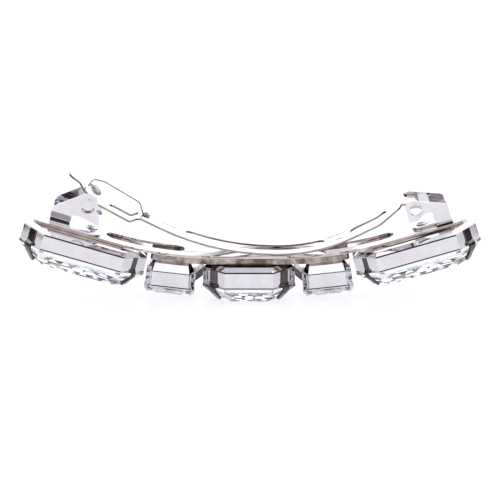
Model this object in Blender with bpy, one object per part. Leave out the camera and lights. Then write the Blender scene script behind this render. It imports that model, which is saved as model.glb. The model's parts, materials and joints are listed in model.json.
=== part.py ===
"""Barrette with five claw-set cut-corner stones, lying on its centre stone, spring clasp on top.

Lengths are in millimetres and are scaled to metres as each mesh is made. X runs along the clip
towards the hinge, Y across it and Z up. Heights of the metalwork are counted from the top of the
base strip at mid-length.
"""

from math import ceil, cos, hypot, pi, radians, sin, tan

import bmesh
import bpy
from mathutils import Matrix, Vector

MM = 0.001
STRIP_TOP = 9.4  # height of the base strip above the centre stone's table
GAP = 0.05  # between pieces that touch
ARC_STEP = radians(9)  # turn between two points of a bend
SNAP = 0.02  # points this close to a bend are taken to lie on it

# Base strip: flat in the middle, then an arc, then straight to each end
STRIP_WIDTH = 8.8
STRIP_THICK = 0.5
STRIP_FLAT = 7.0
STRIP_RADIUS = 70.0
END_SLOPE = radians(16.6)
STRIP_END = 42.6
STRIP_CORNER = 2.2
STRIP_SLOT = (12.9, 28.6)
STRIP_SLOT_WIDTH = 3.8
STRIP_STEPS = 12  # along each of its two arcs

# Carrier bar and links
CARRIER_REACH = 19.4
CARRIER_THICK = 1.25
CARRIER_WIDTH = 8.0
CARRIER_CORNER = 0.8
LINK_WIDTH = 4.4
LINK_HEIGHT = 1.7
LINK_DROP = 0.2  # from the top of a cup's wall down to its link

# Settings: length, width and corner cut of the stone, height of the cup's wall, steps of its back
# (inset, height over the wall), height of the crown, inset of the table, and width of a claw
LARGE = {
    "size": (25.4, 18.4), "cut": 4.5, "wall": 3.3, "back": [(1.5, 0.42)],
    "crown": 3.6, "table": 2.7, "claw": 1.7,
}
CENTRE = {
    "size": (18.5, 13.5), "cut": 4.4, "wall": 3.55, "back": [(1.1, 0.72), (2.7, 0.9)],
    "crown": 3.1, "table": 2.5, "claw": 1.7,
}
SMALL = {
    "size": (10.1, 8.3), "cut": 1.3, "wall": 3.35, "back": [(1.3, 2.05)],
    "crown": 1.5, "table": 1.4, "claw": 0.9,
}
SLIM_CLAW = 0.5  # share of its width that a claw of a large setting has next to its neighbour
CUP_INSET = 0.15  # how far the stone's edge stands out over the cup
CUP_WALL = 0.45
GIRDLE = 0.35
STEP_INSET = 0.5
STEP_DEPTH = 0.95
PAVILION = [(0.25, 0.6), (0.6, 1.0)]  # share of the way in to the middle, share of the depth
CLAW_THICK = 0.55
CLAW_ROOT = 0.25  # how far the claw's foot stands out of the cup's wall
CLAW_SHELF = 0.3  # height at which the claw starts to lean out round the stone's edge
CLAW_TIP = 0.55  # tip width as a share of the claw's width
CLAW_END = 0.25  # from the claw's tip to the level of the table
SETTINGS = {
    "large_left": (-31.96, LARGE, 0.0),
    "small_left": (-15.2, SMALL, CARRIER_THICK + GAP),
    "centre": (-0.2, CENTRE, CARRIER_THICK + GAP),
    "small_right": (14.75, SMALL, CARRIER_THICK + GAP),
    "large_right": (31.96, LARGE, 0.0),
}

# Brackets, in distances along and above the strip's straight end, counted from where that end begins
SHEET = 0.45
EAR_FACE = 4.05  # outer face of each ear, from the middle
FOLD_RADIUS = 0.55
PIVOT = (7.15, 4.52)
PIN_RADIUS = 0.7
PIN_HEAD = (1.2, 0.3)
RIVET_RADIUS = 0.75
RIVET_HEAD = (1.35, 0.35)
CATCH_RIVET_AT = 4.8
HINGE_RIVET_AT = 7.6
CATCH_PLATE = (2.6, 13.1)
HINGE_TONGUE = (5.4, 2.3, 2.0)  # where it starts, half its width and its corner radius
EAR_BLANK = 12.0  # height of the line that the bracket's ears are bent up along
DIMPLE = (6.7, 5.15)
DIMPLE_RADIUS = 1.75
DIMPLE_HEIGHT = 0.2
# Ear's foot: standing out, height, bend radius. It starts upright, square to the plate under it.
EAR_FLARE = [(0.55, 0, 0), (0.55, 0.2, 0.5), (0.22, 0.95, 1.2), (0, 2.3, 3.5)]
CATCH_EAR = [
    (9.15, 0, 0), (9.35, 2.75, 0.9), (6.4, 2.3, 3.0), (3.5, 1.7, 0.35), (3.8, 3.4, 0.8), (4.8, 4.4, 0.8),
    (4.8, 7.3, 1.7), (7.3, 7.7, 1.4), (13.4, 3.0, 1.6), (13.1, 0, 0),
]
HINGE_EAR = [
    (10.25, 0, 0), (10.35, 3.1, 0.9), (8.6, 3.45, 0.8), (7.3, 2.35, 0.7), (5.2, 2.35, 0.6), (5.4, 6.6, 0.9),
    (7.0, 6.5, 1.0), (13.2, 4.15, 0.8), (13.6, 0, 0),
]

# Clasp arm: its middle line (x, height, bend radius), widths and slots
ARM_THICK = 0.4
ARM_WIDTH = 8.6
ARM_NECK_WIDTH = 6.7
ARM_TAB_WIDTH = 4.0
ARM_LOW = 0.32
ARM_BENDS = [
    (-35.7, 16.0, 0), (-33.6, 14.5, 1.5), (-30.1, 10.35, 3.0), (-23.7, 6.75, 0.7), (-21.6, 7.65, 0.9),
    (-7.3, ARM_LOW, 51.0), (13.3, ARM_LOW, 32.0), (25.5, 6.3, 8.0), (29.9, 10.27, 0.5), (32.5, 10.27, 0),
]
ARM_SHOULDERS = (-32.4, -21.9, 29.3)  # where the width steps: tab to neck, neck to full, full to eye
ARM_SLOTS = [(-28.0, -22.0, 1.3), (-12.9, 14.9, 1.7), (19.9, 27.2, 1.6)]
EYE_RADIUS = 0.975
EYE_TURN = radians(255)
EYE_STEP = radians(15)

# Spring loop over the arm's head
LOOP_THICK = 0.28
LOOP_WIDTH = 2.2
LOOP_BENDS = [
    (-19.7, 7.18, 0), (-21.2, 7.96, 0.4), (-21.75, 10.1, 1.5), (-28.6, 14.35, 4.0),
    (-30.9, 14.9, 1.0), (-31.9, 13.4, 0),
]
LOOP_RIVET_AT = 0.85
LOOP_RIVET_RADIUS = 0.32
LOOP_RIVET_HEAD = (0.55, 0.3)
LOOP_RIVET_SIDES = 12

SHARP_EDGE = radians(22)
ROUND_END = 0.999  # keeps the two corner arcs of a round end from meeting in one point
DOME_STEPS = 4
DOME_RIM = 0.93  # share of a quarter turn covered by a domed head, so that its top stays open

MATERIALS = {
    "chrome": ((0.82, 0.82, 0.84), 0.08, 1.0),
    "crystal": ((0.93, 0.94, 0.97), 0.02, 0.0),
}


def clear_scene():
    for obj in list(bpy.data.objects):
        bpy.data.objects.remove(obj)


def material(name, finish):
    colour, roughness, metallic = MATERIALS[finish]
    made = bpy.data.materials.new(name)
    made.use_nodes = True
    shader = made.node_tree.nodes["Principled BSDF"]
    shader.inputs["Base Color"].default_value = (*colour, 1)
    shader.inputs["Roughness"].default_value = roughness
    shader.inputs["Metallic"].default_value = metallic
    return made


def add_object(name, bm, finish="chrome", place=None, parent=None):
    """Turns a millimetre bmesh into an object in metres. place puts the shape where it belongs."""
    if place is not None:
        bm.transform(place)
    bm.transform(Matrix.Scale(MM, 4))
    mesh = bpy.data.meshes.new(name)
    bm.to_mesh(mesh)
    bm.free()
    mesh.shade_smooth()
    mesh.set_sharp_from_angle(angle=SHARP_EDGE)
    mesh.materials.append(material(name, finish))
    obj = bpy.data.objects.new(name, mesh)
    bpy.context.scene.collection.objects.link(obj)
    if parent is not None:
        obj.parent = parent
        obj.matrix_parent_inverse = parent.matrix_world.inverted()
    return obj


def pivot_empty(name, point):
    """An empty on a joint's axis, at a point in millimetres."""
    empty = bpy.data.objects.new(name, None)
    empty.location = Vector(point) * MM
    bpy.context.scene.collection.objects.link(empty)
    bpy.context.view_layer.update()
    return empty


def thicken(obj, thickness):
    """Gives a sheet its thickness, half on each side."""
    solid = obj.modifiers.new("thickness", "SOLIDIFY")
    solid.thickness = thickness * MM
    solid.offset = 0
    solid.use_even_offset = True
    solid.use_quality_normals = True


def rounded(corners, closed=True):
    """The points of a line through corners (x, y, radius), each turned into an arc of its radius."""
    points = []
    last = len(corners) - 1
    for i, (x, y, radius) in enumerate(corners):
        here = Vector((x, y))
        if radius == 0 or (not closed and i in (0, last)):
            points.append(here)
            continue
        before = (Vector(corners[i - 1][:2]) - here).normalized()
        after = (Vector(corners[(i + 1) % len(corners)][:2]) - here).normalized()
        half = before.angle(after) / 2
        centre = here + (before + after).normalized() * radius / sin(half)
        start = here + before * radius / tan(half) - centre
        turn = pi - 2 * half
        if start.x * (centre.y - here.y) > start.y * (centre.x - here.x):
            turn = -turn
        count = max(2, ceil(abs(turn) / ARC_STEP))
        for k in range(count + 1):
            points.append(centre + Matrix.Rotation(turn * k / count, 2) @ start)
    return points


def slot_outline(x0, x1, half_width):
    """A round-ended slot from x0 to x1."""
    corners = [(x0, -half_width), (x1, -half_width), (x1, half_width), (x0, half_width)]
    return rounded([(x, y, half_width * ROUND_END) for x, y in corners])


def circle(x, y, radius, count=20):
    turns = [2 * pi * k / count for k in range(count)]
    return [Vector((x + radius * cos(turn), y + radius * sin(turn))) for turn in turns]


def sheet(outline, holes=()):
    """A flat face filling an outline, less its holes."""
    bm = bmesh.new()
    for loop in (outline, *holes):
        verts = [bm.verts.new((p[0], p[1], 0)) for p in loop]
        for a, b in zip(verts, verts[1:] + verts[:1]):
            bm.edges.new((a, b))
    bmesh.ops.triangle_fill(bm, use_beauty=True, edges=bm.edges[:])
    for face in bm.faces:
        if face.normal.z < 0:
            face.normal_flip()
    return bm


class Line:
    """A bent line that a flat sheet is wrapped along, measured by its own length."""

    def __init__(self, points, start=0.0):
        self.points = [Vector(p) for p in points]
        self.at = [start]
        for a, b in zip(self.points, self.points[1:]):
            self.at.append(self.at[-1] + (b - a).length)

    def point(self, s):
        k = 0
        while k < len(self.at) - 2 and s > self.at[k + 1]:
            k += 1
        share = (s - self.at[k]) / (self.at[k + 1] - self.at[k])
        return self.points[k].lerp(self.points[k + 1], share)

    def length_at(self, x):
        """The length along the line where its first coordinate reaches x."""
        for k in range(len(self.points) - 1):
            a, b = self.points[k].x, self.points[k + 1].x
            if min(a, b) <= x <= max(a, b) and a != b:
                return self.at[k] + (self.at[k + 1] - self.at[k]) * (x - a) / (b - a)
        raise ValueError(x)


def wrap(bm, line):
    """Bends a sheet along a line: x becomes length along it, y stays and z stands off its left."""
    for s in line.at[1:-1]:
        everything = bm.verts[:] + bm.edges[:] + bm.faces[:]
        bmesh.ops.bisect_plane(bm, geom=everything, dist=SNAP, plane_co=(s, 0, 0), plane_no=(1, 0, 0))
    for vert in bm.verts:
        off, (across, up) = vert.co.z, line.point(vert.co.x)
        ahead = (line.point(vert.co.x + 0.01) - line.point(vert.co.x - 0.01)).normalized()
        vert.co = (across - ahead.y * off, vert.co.y, up + ahead.x * off)
    bmesh.ops.dissolve_limit(bm, angle_limit=radians(0.2), verts=bm.verts[:], edges=bm.edges[:])
    return bm


def loft(rings):
    """A closed skin over rings of equal count, with a flat cap on each end."""
    bm = bmesh.new()
    rows = [[bm.verts.new(p) for p in ring] for ring in rings]
    for low, high in zip(rows, rows[1:]):
        for k in range(len(low)):
            j = (k + 1) % len(low)
            bm.faces.new((low[k], low[j], high[j], high[k]))
    bm.faces.new(rows[0][::-1])
    bm.faces.new(rows[-1])
    bmesh.ops.recalc_face_normals(bm, faces=bm.faces[:])
    return bm


def lathe(profile, count=20):
    """A solid turned about Z from (radius, height) points."""
    return loft([[(*p, z) for p in circle(0, 0, r, count)] for r, z in profile])


def dome(radius, height, base):
    """(radius, height) points of a domed head that stands on the level base, from its rim to its top."""
    turns = [pi / 2 * k / DOME_STEPS for k in range(DOME_STEPS + 1)]
    return [(radius * cos(turn * DOME_RIM), base + height * sin(turn)) for turn in turns]


def octagon(size, cut, inset, z):
    """A cut-corner rectangle moved in by inset on all eight sides."""
    x, y = size[0] / 2 - inset, size[1] / 2 - inset
    c = cut - inset * (2 - 2**0.5)
    far = [(x, y - c), (x - c, y), (c - x, y), (-x, y - c)]
    corners = far + [(-a, -b) for a, b in far]
    return [(a, b, z) for a, b in corners]


def strip_point(x):
    """Height and slope of the base strip's top at x."""
    beyond = abs(x) - STRIP_FLAT
    if beyond <= 0:
        return 0.0, 0.0
    reach = STRIP_RADIUS * sin(END_SLOPE)
    if beyond < reach:
        height = STRIP_RADIUS - (STRIP_RADIUS**2 - beyond**2) ** 0.5
        slope = beyond / (STRIP_RADIUS**2 - beyond**2) ** 0.5
    else:
        height = STRIP_RADIUS * (1 - cos(END_SLOPE)) + (beyond - reach) * tan(END_SLOPE)
        slope = tan(END_SLOPE)
    return height, slope if x > 0 else -slope


def strip_line(depth, reach):
    """The line at a depth below the base strip's top, out to reach on each side."""
    bend_end = STRIP_FLAT + STRIP_RADIUS * sin(END_SLOPE)
    stops = [STRIP_FLAT + (bend_end - STRIP_FLAT) * k / STRIP_STEPS for k in range(STRIP_STEPS + 1)]
    stops = [s for s in stops if s < reach] + [reach]
    points = []
    for x in [-s for s in reversed(stops)] + stops:
        height, slope = strip_point(x)
        norm = hypot(1, slope)
        points.append((x + depth * slope / norm, height - depth / norm + STRIP_TOP))
    return Line(points, start=-sum((Vector(b) - Vector(a)).length for a, b in zip(points, points[1:])) / 2)


def on_strip(x, depth):
    """A frame at a depth under the strip's top at x: X along the strip, Z out of it."""
    height, slope = strip_point(x)
    along = Vector((1, 0, slope)).normalized()
    out = Vector((-along.z, 0, along.x))
    origin = Vector((x, 0, height + STRIP_TOP)) - out * depth
    frame = Matrix((along, (0, 1, 0), out)).transposed().to_4x4()
    frame.translation = origin
    return frame


def end_frame(side):
    """A frame on top of the strip's straight end: X outwards along the end, Y across, Z out of the strip."""
    start = side * (STRIP_FLAT + STRIP_RADIUS * sin(END_SLOPE))
    frame = on_strip(start, 0)
    return frame if side > 0 else frame @ Matrix.Rotation(pi, 4, "Z")


def slots_and_rivet_holes():
    """Holes of the base strip, in lengths along its middle line."""
    line = strip_line(STRIP_THICK / 2, STRIP_END)
    inner, outer = (line.length_at(x) for x in STRIP_SLOT)
    holes = []
    for side, rivet in ((-1, CATCH_RIVET_AT), (1, HINGE_RIVET_AT)):
        ends = sorted((side * inner, side * outer))
        holes.append(slot_outline(*ends, STRIP_SLOT_WIDTH / 2))
        axis = end_frame(side) @ Vector((rivet, 0, -STRIP_THICK / 2))
        holes.append(circle(line.length_at(axis.x), 0, RIVET_RADIUS + GAP))
    return line, holes


def base_strip():
    line, holes = slots_and_rivet_holes()
    half, end = STRIP_WIDTH / 2, line.at[-1]
    corners = [(-end, -half), (end, -half), (end, half), (-end, half)]
    outline = rounded([(x, y, STRIP_CORNER) for x, y in corners])
    thicken(add_object("base_strip", wrap(sheet(outline, holes), line)), STRIP_THICK)


def carrier_bar():
    line = strip_line(STRIP_THICK + GAP + CARRIER_THICK / 2, CARRIER_REACH)
    half, end = CARRIER_WIDTH / 2, line.at[-1]
    corners = [(-end, -half), (end, -half), (end, half), (-end, half)]
    outline = rounded([(x, y, CARRIER_CORNER) for x, y in corners])
    thicken(add_object("carrier_bar", wrap(sheet(outline), line)), CARRIER_THICK)


def setting_frame(x, kind, lift):
    """A frame at the middle of a cup's rim, with Z towards its back."""
    return on_strip(x, STRIP_THICK + GAP + lift + kind["back"][-1][1] + kind["wall"])


def cup(kind):
    """An open cup with a sloping back, from its inner ceiling round its rim to its back."""
    size, cut, wall = kind["size"], kind["cut"], kind["wall"]
    inner = CUP_INSET + CUP_WALL
    rings = [
        octagon(size, cut, inner, wall - CUP_WALL / 2),
        octagon(size, cut, inner, 0),
        octagon(size, cut, CUP_INSET, 0),
        octagon(size, cut, CUP_INSET, wall),
    ]
    for inset, height in kind["back"]:
        rings.append(octagon(size, cut, CUP_INSET + inset, wall + height))
    return loft(rings)


def claw(kind, width):
    """A claw up the outside of a corner, over the stone's edge and down along its crown.

    X points out of the corner, counted from the stone's edge. Each station is an inner point,
    an outer point and a share of the claw's full width.
    """
    root = -CUP_INSET - CUP_WALL / 2
    over = 2 * GAP
    top = kind["wall"] - 2 * GAP
    down = kind["crown"] - CLAW_END
    slope = (kind["table"] - STEP_INSET) / (kind["crown"] - STEP_DEPTH)
    tip = STEP_INSET + 0.95 * slope * (down - STEP_DEPTH)
    stations = [
        ((root, top), (CLAW_ROOT - CUP_INSET, top), 1.0),
        ((root, CLAW_SHELF), (CLAW_THICK * 0.6, CLAW_SHELF), 1.0),
        ((over, 0.1), (over + CLAW_THICK, 0.1), 1.0),
        ((over, -GIRDLE), (over + CLAW_THICK, -GIRDLE - 0.2), 0.95),
        ((over - STEP_INSET, -STEP_DEPTH), (CLAW_THICK - STEP_INSET + 0.15, -STEP_DEPTH - 0.35), 0.85),
        ((over - tip + 0.15, -down), (CLAW_THICK - tip, -down - 0.13), CLAW_TIP),
    ]
    rings = []
    for (x, z), (out, low), share in stations:
        half = width * share / 2
        rings.append([(x, -half, z), (out, -half, low), (out, half, low), (x, half, z)])
    return loft(rings)


def corner_frames(kind):
    """The four frames on the stone's cut corners, with X pointing out of the corner."""
    x, y = (side / 2 - kind["cut"] / 2 for side in kind["size"])
    for k, (sx, sy) in enumerate(((1, 1), (-1, 1), (-1, -1), (1, -1))):
        yield Matrix.Translation((sx * x, sy * y, 0)) @ Matrix.Rotation(pi / 4 + k * pi / 2, 4, "Z")


def claw_width(x, kind, corner):
    slim = kind is LARGE and corner.translation.x * x < 0
    return kind["claw"] * (SLIM_CLAW if slim else 1)


def setting(name, x, kind, lift):
    place = setting_frame(x, kind, lift)
    obj = add_object(f"setting_{name}", cup(kind), place=place)
    for k, corner in enumerate(corner_frames(kind)):
        prong = add_object(f"claw_{name}_{k}", claw(kind, claw_width(x, kind, corner)), place=place @ corner)
        prong.hide_render = True
        prong.display_type = "WIRE"
        join = obj.modifiers.new(f"claw_{k}", "BOOLEAN")
        join.operation = "UNION"
        join.object = prong


def stone(name, x, kind, lift):
    """A step-cut stone: table down, two steps of crown, girdle, and a pavilion inside the cup."""
    size, cut, crown = kind["size"], kind["cut"], kind["crown"]
    inner = CUP_INSET + CUP_WALL + 2 * GAP
    deep = kind["wall"] - CUP_WALL / 2 - 4 * GAP
    rings = [
        octagon(size, cut, kind["table"], -crown),
        octagon(size, cut, STEP_INSET, -STEP_DEPTH),
        octagon(size, cut, 0, -GIRDLE - GAP),
        octagon(size, cut, 0, -GAP),
        octagon(size, cut, inner, -GAP),
    ]
    for way_in, share in PAVILION:
        rings.append(octagon(size, cut, inner + way_in * (size[1] / 2 - inner), deep * share))
    add_object(f"stone_{name}", loft(rings), "crystal", place=setting_frame(x, kind, lift))


def link(name, left, right):
    """A short bar between the end walls of two neighbouring cups."""
    ends = []
    for key, side in ((left, 1), (right, -1)):
        x, kind, lift = SETTINGS[key]
        frame = setting_frame(x, kind, lift)
        reach = side * (kind["size"][0] / 2 - CUP_INSET + GAP)
        top = kind["wall"] - LINK_DROP
        for z in (top, top - LINK_HEIGHT):
            ends.append(frame @ Vector((reach, 0, z)))
    left_top, left_low, right_top, right_low = ends
    rings = []
    for y in (-LINK_WIDTH / 2, LINK_WIDTH / 2):
        rings.append([(p.x, y, p.z) for p in (left_top, left_low, right_low, right_top)])
    add_object(f"link_{name}", loft(rings))


def ear_sheet(bulge):
    """The catch's ear, flat with its height along x, with a round dimple pushed through it."""
    outline = rounded([(v, u, r) for u, v, r in CATCH_EAR])
    middle = (DIMPLE[1], DIMPLE[0])
    bm = sheet(outline, [circle(*middle, DIMPLE_RADIUS)])
    bm.verts.ensure_lookup_table()
    ring = bm.verts[len(outline):]
    for share in (0.8, 0.55, 0.28):
        height = bulge * (0.5 + 0.5 * cos(pi * share))
        row = [bm.verts.new((*p, height)) for p in circle(*middle, DIMPLE_RADIUS * share)]
        for k in range(len(row)):
            j = (k + 1) % len(row)
            bm.faces.new((ring[k], ring[j], row[j], row[k]))
        ring = row
    top = bm.verts.new((*middle, bulge))
    for k in range(len(ring)):
        bm.faces.new((ring[k], ring[(k + 1) % len(ring)], top))
    return bm


def catch_ear(name, side):
    """An ear on the catch plate, its foot flared outwards. side is -1 near and 1 far."""
    middle = EAR_FACE - SHEET / 2
    bends = [(middle + out, up, radius) for out, up, radius in EAR_FLARE] + [(middle, EAR_BLANK, 0)]
    bm = wrap(ear_sheet(DIMPLE_HEIGHT), Line(rounded(bends, closed=False)))
    turned = Matrix(((0, 1, 0), (-side, 0, 0), (0, 0, 1))).to_4x4()
    place = end_frame(-1) @ Matrix.Translation((0, 0, SHEET + 2 * GAP)) @ turned
    foot = middle + EAR_FLARE[0][0]
    fold = end_frame(-1) @ Vector((sum(CATCH_PLATE) / 2, -side * foot, SHEET + GAP))
    obj = add_object(name, bm, place=place, parent=pivot_empty(f"{name}_axis", fold))
    thicken(obj, SHEET)


def catch_plate():
    half = EAR_FACE + EAR_FLARE[0][0]
    low, high = CATCH_PLATE
    outline = rounded([(low, -half, 2.4), (high, -half, 0.4), (high, half, 0.4), (low, half, 2.4)])
    bm = sheet(outline, [circle(CATCH_RIVET_AT, 0, RIVET_RADIUS + GAP)])
    place = end_frame(-1) @ Matrix.Translation((0, 0, GAP + SHEET / 2))
    thicken(add_object("catch_plate", bm, place=place), SHEET)


def fold_line():
    """The bracket's cross-section: up one ear, round the fold, across the floor and up the other ear."""
    side = EAR_FACE - SHEET / 2
    corners = [(-side, EAR_BLANK, 0), (-side, 0, FOLD_RADIUS), (side, 0, FOLD_RADIUS), (side, EAR_BLANK, 0)]
    points = rounded(corners, closed=False)
    total = sum((b - a).length for a, b in zip(points, points[1:]))
    return Line(points, start=-total / 2)


def hinge_bracket():
    """One stamped blank folded into a floor and two ears."""
    line = fold_line()
    base = line.at[-1] - EAR_BLANK - SHEET / 2 - GAP  # length along the section, level with the strip's top
    start, half, corner = HINGE_TONGUE
    right = [(half, start, corner), (half, HINGE_EAR[0][0], 0.5)]
    right += [(base + v, u, r) for u, v, r in HINGE_EAR]
    left = [(-w, u, r) for w, u, r in reversed(right)]
    holes = [circle(side * (base + PIVOT[1]), PIVOT[0], PIN_RADIUS + GAP) for side in (-1, 1)]
    holes.append(circle(0, HINGE_RIVET_AT, RIVET_RADIUS + GAP))
    bm = wrap(sheet(rounded(right + left), holes), line)
    turned = Matrix(((0, 1, 0), (-1, 0, 0), (0, 0, 1))).to_4x4()
    place = end_frame(1) @ Matrix.Translation((0, 0, GAP + SHEET / 2)) @ turned
    thicken(add_object("hinge_bracket", bm, place=place), SHEET)


def rivet(name, side, at):
    """A domed rivet through a bracket's floor and the base strip, flush underneath."""
    radius, height = RIVET_HEAD
    level = SHEET + 2 * GAP
    profile = [(RIVET_RADIUS, -STRIP_THICK), (RIVET_RADIUS, level), *dome(radius, height, level)]
    add_object(name, lathe(profile), place=end_frame(side) @ Matrix.Translation((at, 0, 0)))


def pivot_point():
    return end_frame(1) @ Vector((PIVOT[0], 0, PIVOT[1]))


def hinge_pin():
    radius, height = PIN_HEAD
    face = EAR_FACE + GAP
    head = dome(radius, height, face)
    profile = [(r, -z) for r, z in reversed(head)] + [(PIN_RADIUS, -face), (PIN_RADIUS, face)] + head
    place = Matrix.Translation(pivot_point()) @ Matrix.Rotation(-pi / 2, 4, "X")
    add_object("hinge_pin", lathe(profile), place=place)


def arm_line():
    """The arm's middle line from the thumb tab to the end of its rolled eye."""
    points = [Vector((x, z + STRIP_TOP)) for x, z in rounded(ARM_BENDS, closed=False)]
    centre = pivot_point()
    count = ceil(EYE_TURN / EYE_STEP)
    for k in range(count + 1):
        angle = pi / 2 - EYE_TURN * k / count
        points.append(Vector((centre.x + EYE_RADIUS * cos(angle), centre.z + EYE_RADIUS * sin(angle))))
    return Line(points)


def arm_outline(line):
    tab, neck, full = ARM_TAB_WIDTH / 2, ARM_NECK_WIDTH / 2, ARM_WIDTH / 2
    head, waist, eye = (line.length_at(x) for x in ARM_SHOULDERS)
    end = line.at[-1]
    one_side = [
        (0, tab, tab * 0.98), (head - 1.4, tab, 1.0), (head, neck, 0.8), (waist - 0.6, neck, 0.5),
        (waist, full, 0.5), (eye, full, 0.8), (eye + 0.5, neck, 0.3), (end, neck, 0),
    ]
    return rounded([(s, -y, r) for s, y, r in one_side] + list(reversed(one_side)))


def clasp_arm(axis):
    line = arm_line()
    holes = [slot_outline(line.length_at(a), line.length_at(b), half) for a, b, half in ARM_SLOTS]
    rivet_at = line.length_at(loop_rivet_frame().translation.x)
    holes.append(circle(rivet_at, 0, LOOP_RIVET_RADIUS + GAP, LOOP_RIVET_SIDES))
    thicken(add_object("clasp_arm", wrap(sheet(arm_outline(line), holes), line), parent=axis), ARM_THICK)


def loop_line():
    return Line([Vector((x, z + STRIP_TOP)) for x, z in rounded(LOOP_BENDS, closed=False)])


def loop_rivet_frame():
    """The loop's rivet: its origin on the arm's middle line, and Z out of the arm."""
    line = loop_line()
    along = (line.points[1] - line.points[0]).normalized()
    out = Vector((along.y, 0, -along.x))
    foot = line.point(LOOP_RIVET_AT)
    origin = Vector((foot.x, 0, foot.y)) - out * (LOOP_THICK / 2 + GAP + ARM_THICK / 2)
    frame = Matrix((Vector((0, 1, 0)).cross(out), (0, 1, 0), out)).transposed().to_4x4()
    frame.translation = origin
    return frame


def spring_loop(axis):
    line = loop_line()
    half, end = LOOP_WIDTH / 2, line.at[-1]
    outline = rounded([(0, -half, 0.9), (end, -half, 0.3), (end, half, 0.3), (0, half, 0.9)])
    hole = circle(LOOP_RIVET_AT, 0, LOOP_RIVET_RADIUS + GAP, LOOP_RIVET_SIDES)
    thicken(add_object("spring_loop", wrap(sheet(outline, [hole]), line), parent=axis), LOOP_THICK)


def loop_rivet(axis):
    """A small rivet that holds the loop's foot on the arm, flush under the arm."""
    radius, height = LOOP_RIVET_HEAD
    top = ARM_THICK / 2 + LOOP_THICK + 2 * GAP
    profile = [(LOOP_RIVET_RADIUS, -ARM_THICK / 2), (LOOP_RIVET_RADIUS, top), *dome(radius, height, top)]
    turned = lathe(profile, LOOP_RIVET_SIDES)
    add_object("loop_rivet", turned, place=loop_rivet_frame(), parent=axis)


def build():
    clear_scene()
    base_strip()
    carrier_bar()
    for name, (x, kind, lift) in SETTINGS.items():
        setting(name, x, kind, lift)
        stone(name, x, kind, lift)
    link("left", "small_left", "centre")
    link("right", "centre", "small_right")
    catch_plate()
    catch_ear("catch_ear_near", -1)
    catch_ear("catch_ear_far", 1)
    rivet("catch_rivet", -1, CATCH_RIVET_AT)
    hinge_bracket()
    rivet("hinge_rivet", 1, HINGE_RIVET_AT)
    hinge_pin()
    axis = pivot_empty("arm_axis", pivot_point())
    clasp_arm(axis)
    spring_loop(axis)
    loop_rivet(axis)


build()
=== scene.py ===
"""Barrette with five claw-set stones: the looks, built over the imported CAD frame.

Lengths are in millimetres and are scaled to metres as each mesh is made. X runs along the clip
towards the hinge, Y across it and Z up. Heights of the metalwork are counted from the top of the
base strip at mid-length.
"""

import json
from math import ceil, cos, hypot, pi, radians, sin, tan
from random import Random

import bmesh
import bpy
from mathutils import Matrix, Vector

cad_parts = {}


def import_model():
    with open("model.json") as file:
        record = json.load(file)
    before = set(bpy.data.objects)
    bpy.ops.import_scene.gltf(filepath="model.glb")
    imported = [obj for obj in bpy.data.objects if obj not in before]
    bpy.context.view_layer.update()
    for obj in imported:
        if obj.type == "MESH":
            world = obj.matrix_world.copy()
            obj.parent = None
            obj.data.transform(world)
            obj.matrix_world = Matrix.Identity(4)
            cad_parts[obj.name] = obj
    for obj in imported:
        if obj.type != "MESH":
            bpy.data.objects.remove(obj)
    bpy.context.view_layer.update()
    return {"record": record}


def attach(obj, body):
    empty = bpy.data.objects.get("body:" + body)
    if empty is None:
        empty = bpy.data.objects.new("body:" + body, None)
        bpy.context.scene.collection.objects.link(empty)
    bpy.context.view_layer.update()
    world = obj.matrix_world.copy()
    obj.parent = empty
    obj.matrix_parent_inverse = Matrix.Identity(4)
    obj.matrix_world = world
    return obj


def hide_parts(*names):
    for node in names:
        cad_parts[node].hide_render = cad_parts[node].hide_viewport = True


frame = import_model()

MM = 0.001
STRIP_TOP = 9.4
GAP = 0.05  # between pieces that touch or are soldered on the real clip
ARC_STEP = radians(4)  # largest turn between two points of a bend
SNAP = 0.02  # points this close to a bend are taken to lie on it
PROBE = 0.01  # step along a line for finding its direction
FLAT_ANGLE = radians(0.1)  # faces that meet at less than this are joined
ROUND_END = 0.999  # keeps the two corner arcs of a round end from meeting in one point
DOME_STEPS = 10
DOME_RIM = 0.93  # share of a quarter turn covered by a domed head, so that its top stays open

# Base strip, carrier bar and links
STRIP_WIDTH = 8.8
STRIP_THICK = 0.5
STRIP_FLAT = 7.0
STRIP_RADIUS = 70.0
END_SLOPE = radians(16.6)
STRIP_END = 42.6
STRIP_CORNER = 2.2
STRIP_SLOT = (12.9, 28.6)  # from and to, on each side
STRIP_SLOT_WIDTH = 3.8
STRIP_STEPS = 12  # along each of its two arcs

CARRIER_REACH = 19.4
CARRIER_THICK = 1.25
CARRIER_WIDTH = 8.0
CARRIER_CORNER = 0.8
LINK_WIDTH = 4.4
LINK_HEIGHT = 1.7
LINK_DROP = 0.2

# Settings and stones. A cup's back is a list of steps (inwards, height).
LARGE = {
    "size": (25.4, 18.4), "cut": 4.5, "wall": 3.3, "back": [(1.5, 0.42)],
    "crown": 3.6, "table": 2.7, "claw": 1.7,
}
CENTRE = {
    "size": (18.5, 13.5), "cut": 4.4, "wall": 3.55, "back": [(1.1, 0.72), (2.7, 0.9)],
    "crown": 3.1, "table": 2.5, "claw": 1.7,
}
SMALL = {
    "size": (10.1, 8.3), "cut": 1.3, "wall": 3.35, "back": [(1.3, 2.05)],
    "crown": 1.5, "table": 1.4, "claw": 0.9,
}
SLIM_CLAW = 0.5  # share of its width kept by a large setting's claw next to a neighbour
CUP_INSET = 0.15
CUP_WALL = 0.45
GIRDLE = 0.35
STEP_INSET = 0.5
STEP_DEPTH = 0.95
CLAW_THICK = 0.45
CLAW_STOP = 0.3  # height left between a claw's tip and the table
CLAW_KNEE = (0.15, 0.6)  # below the crown's step, and at most this share of the crown
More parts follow.
